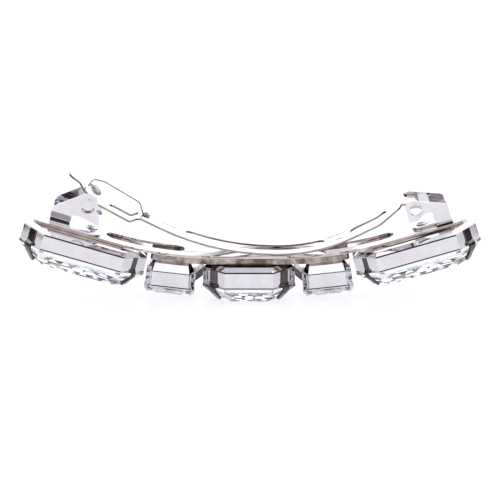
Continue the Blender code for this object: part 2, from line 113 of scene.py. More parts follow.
CLAW_CURL = 1.2  # bend radius of a large claw over its stone
# Where the claw's taper starts and the radius there, then its tip's width and corner, as shares
CLAW_TAPER = (0.45, 1.5, 0.5, 0.4)
# Rings of facets on the stone's back: shares of the way in and of the depth, and the shift in steps
PAVILION = [(0.24, 0.46, 0.5), (0.52, 0.78, 0), (0.78, 0.95, 0.5), (0.92, 1, 0)]
FACET_LENGTH = 2.7  # of a facet, along the girdle
FACET_BULGE = 0.3
FACET_TURNS = (1.0, -0.3, 0.6, -0.5, 0.9, 0.1)  # shares of the bulge, one facet after the other
LIP = (0.09, 0.14, 0.2)  # how far the rim's lip stands out, its height and that of its slope
CHAMFER = (0.12, 0.27)  # at the top of a cup's wall: inwards and down
# Each setting's place along the clip, its kind and how far it is lifted off the strip
SETTINGS = {
    "large_left": (-31.96, LARGE, 0.0),
    "small_left": (-15.2, SMALL, CARRIER_THICK + GAP),
    "centre": (-0.2, CENTRE, CARRIER_THICK + GAP),
    "small_right": (14.75, SMALL, CARRIER_THICK + GAP),
    "large_right": (31.96, LARGE, 0.0),
}

# Catch and hinge. Places are given along the strip's end, then up.
SHEET = 0.45
EAR_FACE = 4.05
FOLD_RADIUS = 0.55
PIVOT = (7.15, 4.52)
PIN_RADIUS = 0.7
PIN_HEAD = (1.2, 0.3)  # radius and height, as for every head
RIVET_RADIUS = 0.75
RIVET_HEAD = (1.35, 0.35)
CATCH_RIVET_AT = 4.8
HINGE_RIVET_AT = 7.6
CATCH_PLATE = (2.6, 13.1)  # from and to
HINGE_TONGUE = (5.4, 2.3, 2.0)  # where it ends, half its width and its corners
TONGUE_NOTCH = 0.5  # radius where the tongue meets the ears
EAR_BLANK = 12.0
DIMPLE = (6.7, 5.15)
DIMPLE_RADIUS = 1.75
DIMPLE_HEIGHT = 0.2
DIMPLE_RINGS = 24
DIMPLE_RIM = 0.45  # share of the dimple's radius taken by its sloping rim
PLATE_CORNERS = (2.4, 0.4)  # inner and outer
# How far the ear's foot stands out, its height and the radius of its bend
EAR_FLARE = [(0.55, 0, 0), (0.55, 0.2, 0.5), (0.22, 0.95, 1.2), (0, 2.3, 3.5)]
CATCH_EAR = [
    (9.15, 0, 0), (9.35, 2.75, 0.9), (6.4, 2.3, 3.0), (3.5, 1.7, 0.35), (3.8, 3.4, 0.8), (4.8, 4.4, 0.8),
    (4.8, 7.3, 1.7), (7.3, 7.7, 1.4), (13.4, 3.0, 1.6), (13.1, 0, 0),
]
HINGE_EAR = [
    (10.25, 0, 0), (10.35, 3.1, 0.9), (8.6, 3.45, 0.8), (7.3, 2.35, 0.7), (5.2, 2.35, 0.6), (5.4, 6.6, 0.9),
    (7.0, 6.5, 1.0), (13.2, 4.15, 0.8), (13.6, 0, 0),
]

# Clasp arm and spring loop. Bends are given as (x, z, radius).
ARM_THICK = 0.4
ARM_WIDTH = 8.6
ARM_NECK_WIDTH = 6.7
ARM_TAB_WIDTH = 4.0
ARM_LOW = 0.32
ARM_BENDS = [
    (-35.7, 16.0, 0), (-33.6, 14.5, 1.5), (-30.1, 10.35, 3.0), (-23.7, 6.75, 0.7), (-21.6, 7.65, 0.9),
    (-7.3, ARM_LOW, 51.0), (13.3, ARM_LOW, 32.0), (25.5, 6.3, 8.0), (29.9, 10.27, 0.5), (32.5, 10.27, 0),
]
ARM_SHOULDERS = (-32.4, -21.9, 29.3)  # of the tab, of the head and at the eye
TAB_END = 0.98  # share of the tab's half width that rounds its end
TAB_SLOPE = (1.4, 1.0, 0.8)  # length of a shoulder and its two radii
NECK_SLOPE = (0.6, 0.5, 0.5)  # the same for the head's end
EYE_SLOPE = (0.5, 0.8, 0.3)  # and for the eye
ARM_SLOTS = [(-28.0, -22.0, 1.3), (-12.9, 14.9, 1.7), (19.9, 27.2, 1.6)]  # from, to and half the width
EYE_RADIUS = 0.975
EYE_TURN = radians(255)
EYE_STEP = radians(6)

LOOP_THICK = 0.28
LOOP_WIDTH = 2.2
LOOP_BENDS = [
    (-19.7, 7.18, 0), (-21.2, 7.96, 0.4), (-21.75, 10.1, 1.5), (-28.6, 14.35, 4.0),
    (-30.9, 14.9, 1.0), (-31.9, 13.4, 0),
]
LOOP_CORNERS = (0.9, 0.3)  # at its foot and at its free end
LOOP_RIVET_AT = 0.85
LOOP_RIVET_RADIUS = 0.32
LOOP_RIVET_HEAD = (0.55, 0.3)
# Radii of the rounded edges
STRIP_ROUND = 0.1
CARRIER_ROUND = 0.2
SETTING_ROUND = (0.16, 10)  # radius, and least angle rounded
LINK_ROUND = 0.15
BRACKET_ROUND = 0.18
RIVET_ROUND = 0.05
ARM_ROUND = (0.19, 4)  # radius and segments
LOOP_ROUND = 0.07

# Plating
ROUGH_SPREAD = (0.4, 1.6)  # shares of a finish's roughness
RUBBED = 0.03  # depth of the rubbed lines, as a share of the waviness

# Camera and light
VIEW_ELEVATION = radians(16.5)
VIEW_DISTANCE = 410.0
VIEW_LENS = 148.0
VIEW_SENSOR = 36.0
VIEW_CLIP = (0.01, 20.0)  # metres
FLOOR_SIZE = 3.0  # metres
FLOOR_DROP = 0.00005  # metres below the clip
FLOOR_GLOW = 0.88
STUDIO_WHITE = (1.45, 1.45, 1.47, 1)
STUDIO_LOW = (0.42, 0.41, 0.46, 1)
STUDIO_FRONT = (0.95, 0.86, 0.84, 1)
STUDIO_TOP = (0.82, 0.82, 0.86, 1)
STUDIO_DARK = (0.06, 0.045, 0.04, 1)
# Where one part of the studio fades into the next, as shares of a direction's unit length
FADE_BEHIND = (-0.12, 0.1)
FADE_OVER = (0.56, 0.64)
FADE_ZENITH = (0.77, 0.86)
FADE_LEVEL = (0.1, 0.2)
FADE_DARK = (0.30, 0.36)
FADE_ENDS = (0.9, 0.96)
SOFTBOX = {"across": 0.7, "back": 0.35, "up": 0.8, "size": 0.7, "power": 2.5}  # metres and watts

BODY_OF = {node: body for body, nodes in frame["record"]["behaviour"]["bodies"].items() for node in nodes}
SLOT_OF = {part["node"]: part["material_slot"] for part in frame["record"]["subparts"]}


# ---------------------------------------------------------------- materials

class Shader:
    """A material's node tree, with short calls for the nodes used here."""

    def __init__(self, name):
        self.material = bpy.data.materials.new(name)
        self.material.use_nodes = True
        self.nodes = self.material.node_tree.nodes
        self.links = self.material.node_tree.links
        self.main = self.nodes["Principled BSDF"]
        self.place = self.nodes.new("ShaderNodeTexCoord").outputs["Object"]

    def set(self, **values):
        for name, value in values.items():
            self.main.inputs[name.replace("_", " ")].default_value = value

    def noise(self, scale, detail=2.0, distortion=0.0, stretch=None):
        node = self.nodes.new("ShaderNodeTexNoise")
        node.inputs["Scale"].default_value = scale
        node.inputs["Detail"].default_value = detail
        node.inputs["Distortion"].default_value = distortion
        source = self.place
        if stretch:
            mapping = self.nodes.new("ShaderNodeMapping")
            mapping.inputs["Scale"].default_value = stretch
            self.links.new(self.place, mapping.inputs["Vector"])
            source = mapping.outputs["Vector"]
        self.links.new(source, node.inputs["Vector"])
        return node.outputs["Fac"]

    def ramp(self, value, stops):
        node = self.nodes.new("ShaderNodeValToRGB")
        while len(node.color_ramp.elements) < len(stops):
            node.color_ramp.elements.new(0.5)
        for element, (at, colour) in zip(node.color_ramp.elements, stops):
            element.position = at
            element.color = (*colour, 1)
        self.links.new(value, node.inputs["Fac"])
        return node.outputs["Color"]

    def levels(self, value, low, high):
        node = self.nodes.new("ShaderNodeMapRange")
        node.inputs["To Min"].default_value = low
        node.inputs["To Max"].default_value = high
        self.links.new(value, node.inputs["Value"])
        return node.outputs["Result"]

    def bump(self, height, depth, below=None):
        node = self.nodes.new("ShaderNodeBump")
        node.inputs["Strength"].default_value = 1.0
        node.inputs["Distance"].default_value = depth * MM
        self.links.new(height, node.inputs["Height"])
        if below:
            self.links.new(below, node.inputs["Normal"])
        return node.outputs["Normal"]

    def feed(self, output, name):
        self.links.new(output, self.main.inputs[name])


def chrome(name, base_tone, cloud_tone, wobble, rough):
    """Bright plating: slow waviness of the rolled sheet, faint clouding and fine rubbed lines. The dark
    tones given to some finishes are painted shade.
    """
    shader = Shader(name)
    shader.set(Metallic=1.0)
    cloud = shader.noise(420, detail=4.0, distortion=0.4)
    shader.feed(shader.ramp(cloud, [(0.38, base_tone), (0.72, cloud_tone)]), "Base Color")
    low, high = (rough * share for share in ROUGH_SPREAD)
    shader.feed(shader.levels(shader.noise(900, detail=5.0), low, high), "Roughness")
    wave = shader.bump(shader.noise(260, detail=1.0), wobble)
    lines = shader.noise(1500, detail=3.0, stretch=(0.08, 1.0, 1.0))
    shader.feed(shader.bump(lines, wobble * RUBBED, below=wave), "Normal")
    return shader.material


def crystal():
    """Clear cut glass with barely visible streaks in its tint."""
    shader = Shader("crystal")
    shader.set(Transmission_Weight=1.0, IOR=1.56)
    streak = shader.noise(180, detail=2.0, distortion=1.5)
    shader.feed(shader.ramp(streak, [(0.3, (0.97, 0.98, 1.0)), (0.7, (1.0, 0.985, 0.99))]), "Base Color")
    shader.feed(shader.levels(shader.noise(700, detail=3.0), 0.05, 0.12), "Roughness")
    return shader.material


def foil(name, light, deep):
    """The silvered back of the stones, in one of the tints that change from facet to facet. Apart from the
    silver, the tints are painted reflections: the coloured flashes of the cut glass.
    """
    shader = Shader(name)
    shader.set(Metallic=1.0)
    tint = shader.noise(330, detail=2.0, distortion=2.0)
    shader.feed(shader.ramp(tint, [(0.3, deep), (0.65, light)]), "Base Color")
    shader.feed(shader.levels(shader.noise(800, detail=3.0), 0.12, 0.25), "Roughness")
    return shader.material


FINISHES = {
    "strip_chrome": chrome("strip_chrome", (0.72, 0.71, 0.735), (0.66, 0.64, 0.66), 0.014, 0.06),
    # Painted shade: the carrier's dark tones stand in for the shade under the base strip.
    "carrier_chrome": chrome("carrier_chrome", (0.13, 0.1, 0.088), (0.56, 0.51, 0.48), 0.03, 0.12),
    "setting_chrome": chrome("setting_chrome", (0.72, 0.71, 0.745), (0.66, 0.64, 0.67), 0.012, 0.05),
    "bracket_chrome": chrome("bracket_chrome", (0.72, 0.71, 0.74), (0.66, 0.64, 0.67), 0.014, 0.06),
    "spring_chrome": chrome("spring_chrome", (0.73, 0.725, 0.74), (0.66, 0.65, 0.66), 0.012, 0.07),
    "rivet_chrome": chrome("rivet_chrome", (0.93, 0.93, 0.94), (0.84, 0.83, 0.84), 0.012, 0.1),
    "crystal": crystal(),
}
# Painted shade on the base strip's edges: a darker, browner tone for the dark band along them.
STRIP_EDGE_SHADE = chrome("strip_edge_shade", (0.66, 0.59, 0.565), (0.46, 0.40, 0.38), 0.02, 0.12)
# Apart from the silver, these tints are painted reflections standing in for the coloured flashes of the
# stones.
FOILS = (
    foil("foil_silver", (0.97, 0.97, 0.98), (0.86, 0.87, 0.9)),
    foil("foil_painted_sky", (0.78, 0.84, 0.94), (0.6, 0.67, 0.8)),
    foil("foil_painted_slate", (0.68, 0.71, 0.77), (0.5, 0.53, 0.6)),
    foil("foil_painted_rose", (0.96, 0.84, 0.82), (0.84, 0.68, 0.66)),
)
FOIL_SHARE = (0.52, 0.24, 0.1, 0.14)
# Painted shade: near black, for the dark reflections of the large and centre claws, and for the shade
# between the cups on the links.
PAINTED_SHADE_CHROME = chrome("painted_shade_chrome", (0.13, 0.116, 0.112), (0.06, 0.052, 0.05), 0.012, 0.1)
# Painted shade on the edges of the arm and the loop: the dark tone draws the dark lines that their rounded
# edges reflect.
PAINTED_EDGE_SHADE = chrome("painted_edge_shade", (0.34, 0.305, 0.29), (0.22, 0.19, 0.18), 0.02, 0.15)


# ---------------------------------------------------------------- mesh helpers

def add_piece(node, bm, place=None, extra=(), smooth=True):
    """Turns a millimetre bmesh into the piece that is seen in place of a CAD node."""
    if place is not None:
        bm.transform(place)
    bm.transform(Matrix.Scale(MM, 4))
    mesh = bpy.data.meshes.new(f"{node}.fine")
    bm.to_mesh(mesh)
    bm.free()
    if smooth:
        mesh.shade_smooth()
    slot = SLOT_OF[node]
    for finish in (FINISHES[slot], *extra):
        mesh.materials.append(finish)
    obj = bpy.data.objects.new(f"{node}.fine", mesh)
    bpy.context.scene.collection.objects.link(obj)
    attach(obj, BODY_OF[node])
    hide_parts(node)
    return obj


def thicken(obj, thickness):
    """Gives a sheet its thickness. Cut edges take the piece's second finish if it has one, a darker tone
    that is painted shade.

    Even offsets are left off: they send points astray at slivers, and no bend turns far in one step.
    """
    solid = obj.modifiers.new("thickness", "SOLIDIFY")
    solid.thickness = thickness * MM
    solid.offset = 0
    solid.material_offset_rim = len(obj.data.materials) - 1
    solid.use_quality_normals = True


def soften(obj, radius, angle=32, segments=3):
    """Rounds a piece's edges and keeps its faces flat."""
    bevel = obj.modifiers.new("edges", "BEVEL")
    bevel.width = radius * MM
    bevel.segments = segments
    bevel.limit_method = "ANGLE"
    bevel.angle_limit = radians(angle)
    bevel.use_clamp_overlap = True
    normals = obj.modifiers.new("normals", "WEIGHTED_NORMAL")
    normals.keep_sharp = True


def rounded(corners, closed=True):
    """The points of a line through corners (x, y, radius), each turned into an arc of its radius."""
    points = []
    last = len(corners) - 1
    for i, (x, y, radius) in enumerate(corners):
        here = Vector((x, y))
        if radius == 0 or (not closed and i in (0, last)):
            points.append(here)
            continue
        before = (Vector(corners[i - 1][:2]) - here).normalized()
        after = (Vector(corners[(i + 1) % len(corners)][:2]) - here).normalized()
        half = before.angle(after) / 2
        centre = here + (before + after).normalized() * radius / sin(half)
        start = here + before * radius / tan(half) - centre
        turn = pi - 2 * half
        if start.x * (centre.y - here.y) > start.y * (centre.x - here.x):
            turn = -turn
        count = max(2, ceil(abs(turn) / ARC_STEP))
        for k in range(count + 1):
            points.append(centre + Matrix.Rotation(turn * k / count, 2) @ start)
    return points


def slot_outline(x0, x1, half_width):
    """A slot with round ends."""
    corners = [(x0, -half_width), (x1, -half_width), (x1, half_width), (x0, half_width)]
    return rounded([(x, y, half_width * ROUND_END) for x, y in corners])


def circle(x, y, radius, count=48):
    turns = [2 * pi * k / count for k in range(count)]
    return [Vector((x + radius * cos(turn), y + radius * sin(turn))) for turn in turns]


def sheet(outline, holes=()):
    """A flat face filling an outline, less its holes."""
    bm = bmesh.new()
    for loop in (outline, *holes):
        verts = [bm.verts.new((p[0], p[1], 0)) for p in loop]
        for a, b in zip(verts, verts[1:] + verts[:1]):
            bm.edges.new((a, b))
    bmesh.ops.triangle_fill(bm, use_beauty=True, edges=bm.edges[:])
    for face in bm.faces:
        if face.normal.z < 0:
            face.normal_flip()
    return bm


class Line:
    """A bent line that a flat sheet is wrapped along, measured by its own length."""

    def __init__(self, points, start=0.0):
        self.points = [Vector(p) for p in points]
        self.at = [start]
        for a, b in zip(self.points, self.points[1:]):
            self.at.append(self.at[-1] + (b - a).length)

    def point(self, s):
        """The point at length s. The line runs on straight beyond its ends."""
        k = 0
        while k < len(self.at) - 2 and s > self.at[k + 1]:
            k += 1
        share = (s - self.at[k]) / (self.at[k + 1] - self.at[k])
        return self.points[k].lerp(self.points[k + 1], share)

    def length_at(self, x):
        """The length along the line where its first coordinate reaches x."""
        for k in range(len(self.points) - 1):
            a, b = self.points[k].x, self.points[k + 1].x
            if min(a, b) <= x <= max(a, b) and a != b:
                return self.at[k] + (self.at[k + 1] - self.at[k]) * (x - a) / (b - a)
        raise ValueError(x)


def wrap(bm, line):
    """Bends a sheet along a line: x becomes length along it, y stays and z stands off its left."""
    for s in line.at[1:-1]:
        everything = bm.verts[:] + bm.edges[:] + bm.faces[:]
        bmesh.ops.bisect_plane(bm, geom=everything, dist=SNAP, plane_co=(s, 0, 0), plane_no=(1, 0, 0))
    for vert in bm.verts:
        off, (across, up) = vert.co.z, line.point(vert.co.x)
        ahead = (line.point(vert.co.x + PROBE) - line.point(vert.co.x - PROBE)).normalized()
        vert.co = (across - ahead.y * off, vert.co.y, up + ahead.x * off)
    bmesh.ops.dissolve_limit(bm, angle_limit=FLAT_ANGLE, verts=bm.verts[:], edges=bm.edges[:])
    return bm


def loft(rings):
    """A closed skin over rings of equal count, with a flat cap on each end."""
    bm = bmesh.new()
    rows = [[bm.verts.new(p) for p in ring] for ring in rings]
    for low, high in zip(rows, rows[1:]):
        for k in range(len(low)):
            j = (k + 1) % len(low)
            bm.faces.new((low[k], low[j], high[j], high[k]))
    bm.faces.new(rows[0][::-1])
    bm.faces.new(rows[-1])
    bmesh.ops.recalc_face_normals(bm, faces=bm.faces[:])
    return bm


def lathe(profile, count=48):
    """A closed solid turned from points (radius, height), none of them on its axis."""
    return loft([[(*p, z) for p in circle(0, 0, r, count)] for r, z in profile])


def dome(radius, height, base):
    """The profile of a domed head, from its rim to just off its top."""
    turns = [pi / 2 * k / DOME_STEPS for k in range(DOME_STEPS + 1)]
    return [(radius * cos(turn * DOME_RIM), base + height * sin(turn)) for turn in turns]


def octagon(size, cut, inset, z):
    """A cut-corner rectangle moved in by inset on all eight sides."""
    x, y = size[0] / 2 - inset, size[1] / 2 - inset
    c = cut - inset * (2 - 2**0.5)
    far = [(x, y - c), (x - c, y), (c - x, y), (-x, y - c)]
    return [(a, b, z) for a, b in far + [(-a, -b) for a, b in far]]


# ---------------------------------------------------------------- base strip and carrier

def strip_point(x):
    """Height and slope of the base strip's top at x."""
    beyond = abs(x) - STRIP_FLAT
    if beyond <= 0:
        return 0.0, 0.0
    reach = STRIP_RADIUS * sin(END_SLOPE)
    if beyond < reach:
        height = STRIP_RADIUS - (STRIP_RADIUS**2 - beyond**2) ** 0.5
        slope = beyond / (STRIP_RADIUS**2 - beyond**2) ** 0.5
    else:
        height = STRIP_RADIUS * (1 - cos(END_SLOPE)) + (beyond - reach) * tan(END_SLOPE)
        slope = tan(END_SLOPE)
    return height, slope if x > 0 else -slope


def strip_line(depth, reach):
    """The line at a depth below the base strip's top, out to reach on each side."""
    bend_end = STRIP_FLAT + STRIP_RADIUS * sin(END_SLOPE)
    stops = [STRIP_FLAT + (bend_end - STRIP_FLAT) * k / STRIP_STEPS for k in range(STRIP_STEPS + 1)]
    stops = [s for s in stops if s < reach] + [reach]
    points = []
    for x in [-s for s in reversed(stops)] + stops:
        height, slope = strip_point(x)
        norm = hypot(1, slope)
        points.append((x + depth * slope / norm, height - depth / norm + STRIP_TOP))
    return Line(points, start=-sum((Vector(b) - Vector(a)).length for a, b in zip(points, points[1:])) / 2)


def on_strip(x, depth):
    """A frame at a depth under the strip's top at x: X along the strip, Z out of it."""
    height, slope = strip_point(x)
    along = Vector((1, 0, slope)).normalized()
    out = Vector((-along.z, 0, along.x))
    made = Matrix((along, (0, 1, 0), out)).transposed().to_4x4()
    made.translation = Vector((x, 0, height + STRIP_TOP)) - out * depth
    return made


def end_frame(side):
    """A frame on top of the strip's straight end: X outwards along the end, Y across, Z out of the strip."""
    start = side * (STRIP_FLAT + STRIP_RADIUS * sin(END_SLOPE))
    made = on_strip(start, 0)
    return made if side > 0 else made @ Matrix.Rotation(pi, 4, "Z")


def round_plate(end, half, corner):
    """The outline of a plate centred on its line, with its four corners rounded."""
    corners = [(-end, -half), (end, -half), (end, half), (-end, half)]
    return rounded([(x, y, corner) for x, y in corners])


def base_strip():
    line = strip_line(STRIP_THICK / 2, STRIP_END)
    inner, outer = (line.length_at(x) for x in STRIP_SLOT)
    holes = []
    for side, rivet_at in ((-1, CATCH_RIVET_AT), (1, HINGE_RIVET_AT)):
        holes.append(slot_outline(*sorted((side * inner, side * outer)), STRIP_SLOT_WIDTH / 2))
        axis = end_frame(side) @ Vector((rivet_at, 0, -STRIP_THICK / 2))
        holes.append(circle(line.length_at(axis.x), 0, RIVET_RADIUS + GAP))
    outline = round_plate(line.at[-1], STRIP_WIDTH / 2, STRIP_CORNER)
    obj = add_piece("base_strip", wrap(sheet(outline, holes), line), extra=(STRIP_EDGE_SHADE,))
    thicken(obj, STRIP_THICK)
    soften(obj, STRIP_ROUND)


def carrier_bar():
    line = strip_line(STRIP_THICK + GAP + CARRIER_THICK / 2, CARRIER_REACH)
    outline = round_plate(line.at[-1], CARRIER_WIDTH / 2, CARRIER_CORNER)
    obj = add_piece("carrier_bar", wrap(sheet(outline), line))
    thicken(obj, CARRIER_THICK)
    soften(obj, CARRIER_ROUND)


# ---------------------------------------------------------------- settings and stones

def setting_frame(x, kind, lift):
    """A frame at the middle of a cup's rim, with Z towards its back."""
    return on_strip(x, STRIP_THICK + GAP + lift + kind["back"][-1][1] + kind["wall"])


def cup(kind):
    """An open cup with a sloping back, from its inner ceiling round its rim to its back."""
    size, cut, wall = kind["size"], kind["cut"], kind["wall"]
    inner = CUP_INSET + CUP_WALL
    rings = [
        octagon(size, cut, inner, wall - CUP_WALL / 2),
        octagon(size, cut, inner, 0),
        octagon(size, cut, CUP_INSET - LIP[0], 0),
        octagon(size, cut, CUP_INSET - LIP[0], LIP[1]),
        octagon(size, cut, CUP_INSET, LIP[1] + LIP[2]),
        octagon(size, cut, CUP_INSET, wall - CHAMFER[1]),
        octagon(size, cut, CUP_INSET + CHAMFER[0], wall),
    ]
    for inset, height in kind["back"]:
        rings.append(octagon(size, cut, CUP_INSET + inset, wall + height))
    return loft(rings)


def claw(kind, width):
    """A prong of bent strip: up the outside of a corner, over the stone's edge, down its crown.

    X points out of the corner, counted from the stone's edge.
    """
    half = CLAW_THICK / 2
    slope = (kind["table"] - STEP_INSET) / (kind["crown"] - STEP_DEPTH)
    end = kind["crown"] - CLAW_STOP
    tip = half + 2 * GAP - STEP_INSET - slope * (end - STEP_DEPTH)
    over = half + 2 * GAP
    knee = min(STEP_DEPTH + CLAW_KNEE[0], CLAW_KNEE[1] * kind["crown"])
    curl = CLAW_CURL * kind["crown"] / LARGE["crown"]
    bends = [
        (-CUP_INSET, kind["wall"] - 0.1, 0), (-CUP_INSET + 0.02, 0.75, 0.8), (over + 0.03, 0.15, 0.6),
        (over + 0.03, -0.4, 0.7 * curl), (over - STEP_INSET + 0.1, -knee, curl), (tip + 0.1, -end, 0),
    ]
    line = Line(rounded(bends, closed=False))
    wide, length = width / 2, line.at[-1]
    start, bend, narrow, corner = CLAW_TAPER
    outline = rounded([
        (0, -wide, 0), (length * start, -wide, bend), (length, -wide * narrow, wide * corner),
        (length, wide * narrow, wide * corner), (length * start, wide, bend), (0, wide, 0),
    ])
    return wrap(sheet(outline), line)


def corner_frames(kind):
    """The four frames on the stone's cut corners, with X pointing out of the corner."""
    x, y = (side / 2 - kind["cut"] / 2 for side in kind["size"])
    for k, (sx, sy) in enumerate(((1, 1), (-1, 1), (-1, -1), (1, -1))):
        yield Matrix.Translation((sx * x, sy * y, 0)) @ Matrix.Rotation(pi / 4 + k * pi / 2, 4, "Z")


def solid_sheet(bm, thickness):
    """Gives a bmesh sheet its thickness, half on each side."""
    mesh = bpy.data.meshes.new("part")
    bm.to_mesh(mesh)
    bm.free()
    obj = bpy.data.objects.new("part", mesh)
    bpy.context.scene.collection.objects.link(obj)
    solid = obj.modifiers.new("thickness", "SOLIDIFY")
    solid.thickness = thickness
    solid.offset = 0
    solid.use_even_offset = True
    bpy.context.view_layer.update()
    made = bpy.data.meshes.new_from_object(obj.evaluated_get(bpy.context.evaluated_depsgraph_get()))
    bpy.data.objects.remove(obj)
    return made


def claw_width(x, kind, corner):
    """A claw's width: slim where a large setting faces its neighbour."""
    slim = kind is LARGE and corner.translation.x * x < 0
    return kind["claw"] * (SLIM_CLAW if slim else 1)


def setting(name, x, kind, lift):
    """A cup with a claw on each corner. Only small settings' claws have the cup's own plating; the others
    take a painted shade, a near-black finish that stands in for their dark reflections.
    """
    bm = cup(kind)
    for corner in corner_frames(kind):
        prong = solid_sheet(claw(kind, claw_width(x, kind, corner)), CLAW_THICK)
        prong.transform(corner)
        for polygon in prong.polygons:
            polygon.material_index = 0 if kind is SMALL else 1
        bm.from_mesh(prong)
    bmesh.ops.recalc_face_normals(bm, faces=bm.faces[:])
    obj = add_piece(f"setting_{name}", bm, place=setting_frame(x, kind, lift), extra=(PAINTED_SHADE_CHROME,))
    radius, angle = SETTING_ROUND
    soften(obj, radius, angle=angle)


def divided(corners, counts, shift, bulge):
    """An octagon's points with each side divided evenly. Shifted points stand out and in by turns."""
    points = []
    for k, count in enumerate(counts):
        a, b = Vector(corners[k]), Vector(corners[(k + 1) % len(corners)])
        out = Vector((b.y - a.y, a.x - b.x, 0)).normalized()
        if out.dot(a) < 0:
            out = -out
        for step in range(count):
            turn = FACET_TURNS[(k + step) % len(FACET_TURNS)] if shift else 0
            points.append(a.lerp(b, (step + shift) / count) + out * bulge * turn)
    return points


def faceted(rings, shifts):
    """A closed skin over rings, with triangles where one of two rings is shifted by half a step."""
    bm = bmesh.new()
    rows = [[bm.verts.new(p) for p in ring] for ring in rings]
    for low, high, before, after in zip(rows, rows[1:], shifts, shifts[1:]):
        for k in range(len(low)):
            j = (k + 1) % len(low)
            if before == after:
                bm.faces.new((low[k], low[j], high[j], high[k]))
            elif after:
                bm.faces.new((low[k], low[j], high[k]))
                bm.faces.new((high[k], low[j], high[j]))
            else:
                bm.faces.new((low[k], high[j], high[k]))
                bm.faces.new((low[k], low[j], high[j]))
    bm.faces.new(rows[0][::-1])
    bm.faces.new(rows[-1])
    bmesh.ops.recalc_face_normals(bm, faces=bm.faces[:])
    return bm


def stone(name, x, kind, lift):
    """A cut-corner stone: table down, kite facets on crown and silvered pavilion, plain girdle."""
    size, cut, crown = kind["size"], kind["cut"], kind["crown"]
    inner = CUP_INSET + CUP_WALL + 2 * GAP
    deep = kind["wall"] - CUP_WALL / 2 - 4 * GAP
    reach = size[1] / 2 - inner
    bulge = FACET_BULGE * kind["crown"] / LARGE["crown"]
    levels = [
        (kind["table"], -crown, 0),
        ((STEP_INSET + kind["table"]) / 2, -(STEP_DEPTH + crown) / 2, 0.5),
        (STEP_INSET, -STEP_DEPTH, 0),
        (0, -GIRDLE - GAP, 0),
        (0, -GAP, 0),
        (inner, -GAP, 0),
    ]
    levels += [(inner + share * reach, deep * depth, shift) for share, depth, shift in PAVILION]
    girdle = octagon(size, cut, 0, 0)
    sides = [(Vector(b) - Vector(a)).length for a, b in zip(girdle, girdle[1:] + girdle[:1])]
    counts = [max(1, round(side / FACET_LENGTH)) for side in sides]
    shifts = [shift for *_, shift in levels]
    rings = [divided(octagon(size, cut, inset, z), counts, shift, bulge) for inset, z, shift in levels]
    bm = faceted(rings, shifts)
    draw = Random(name)
    for face in bm.faces:
        if face.calc_center_median().z > 0:
            face.material_index = draw.choices(range(1, len(FOILS) + 1), FOIL_SHARE)[0]
    add_piece(f"stone_{name}", bm, place=setting_frame(x, kind, lift), extra=FOILS, smooth=False)


def link(name, left, right):
    """A short bar between the end walls of two neighbouring cups."""
    ends = []
    for key, side in ((left, 1), (right, -1)):
        x, kind, lift = SETTINGS[key]
        made = setting_frame(x, kind, lift)
        reach = side * (kind["size"][0] / 2 - CUP_INSET + GAP)
        top = kind["wall"] - LINK_DROP
        for z in (top, top - LINK_HEIGHT):
            ends.append(made @ Vector((reach, 0, z)))
    left_top, left_low, right_top, right_low = ends
    rings = []
    for y in (-LINK_WIDTH / 2, LINK_WIDTH / 2):
        rings.append([(p.x, y, p.z) for p in (left_top, left_low, right_low, right_top)])
    bm = loft(rings)
    # Painted shade: the whole bar takes the near-black finish, for the shade between the cups.
    for face in bm.faces:
        face.material_index = 1
    soften(add_piece(f"link_{name}", bm, extra=(PAINTED_SHADE_CHROME,)), LINK_ROUND)


# ---------------------------------------------------------------- catch and hinge brackets

def catch_ear(name, side):
    """An ear on the catch plate, its foot flared outwards. side is -1 near and 1 far."""
    outline = rounded([(v, u, r) for u, v, r in CATCH_EAR])
    dimple = (DIMPLE[1], DIMPLE[0])
    bm = sheet(outline, [circle(*dimple, DIMPLE_RADIUS)])
    bm.verts.ensure_lookup_table()
    ring = bm.verts[len(outline):]
    for share in [1 - k / DIMPLE_RINGS for k in range(1, DIMPLE_RINGS)]:
        height = DIMPLE_HEIGHT * (0.5 - 0.5 * cos(pi * min(1, (1 - share) / DIMPLE_RIM)))
        row = [bm.verts.new((*p, height)) for p in circle(*dimple, DIMPLE_RADIUS * share)]
        for k in range(len(row)):
            j = (k + 1) % len(row)
            bm.faces.new((ring[k], ring[j], row[j], row[k]))
        ring = row
    top = bm.verts.new((*dimple, DIMPLE_HEIGHT))
    for k in range(len(ring)):
        bm.faces.new((ring[k], ring[(k + 1) % len(ring)], top))
    middle = EAR_FACE - SHEET / 2
    bends = [(middle + out, up, radius) for out, up, radius in EAR_FLARE] + [(middle, EAR_BLANK, 0)]
    bm = wrap(bm, Line(rounded(bends, closed=False)))
    turned = Matrix(((0, 1, 0), (-side, 0, 0), (0, 0, 1))).to_4x4()
    obj = add_piece(name, bm, place=end_frame(-1) @ Matrix.Translation((0, 0, SHEET + 2 * GAP)) @ turned)
    thicken(obj, SHEET)
    soften(obj, BRACKET_ROUND)


def catch_plate():
    half = EAR_FACE + EAR_FLARE[0][0]
    low, high = CATCH_PLATE
    inner, outer = PLATE_CORNERS
    outline = rounded([(low, -half, inner), (high, -half, outer), (high, half, outer), (low, half, inner)])
    bm = sheet(outline, [circle(CATCH_RIVET_AT, 0, RIVET_RADIUS + GAP)])
    obj = add_piece("catch_plate", bm, place=end_frame(-1) @ Matrix.Translation((0, 0, GAP + SHEET / 2)))
    thicken(obj, SHEET)
    soften(obj, BRACKET_ROUND)


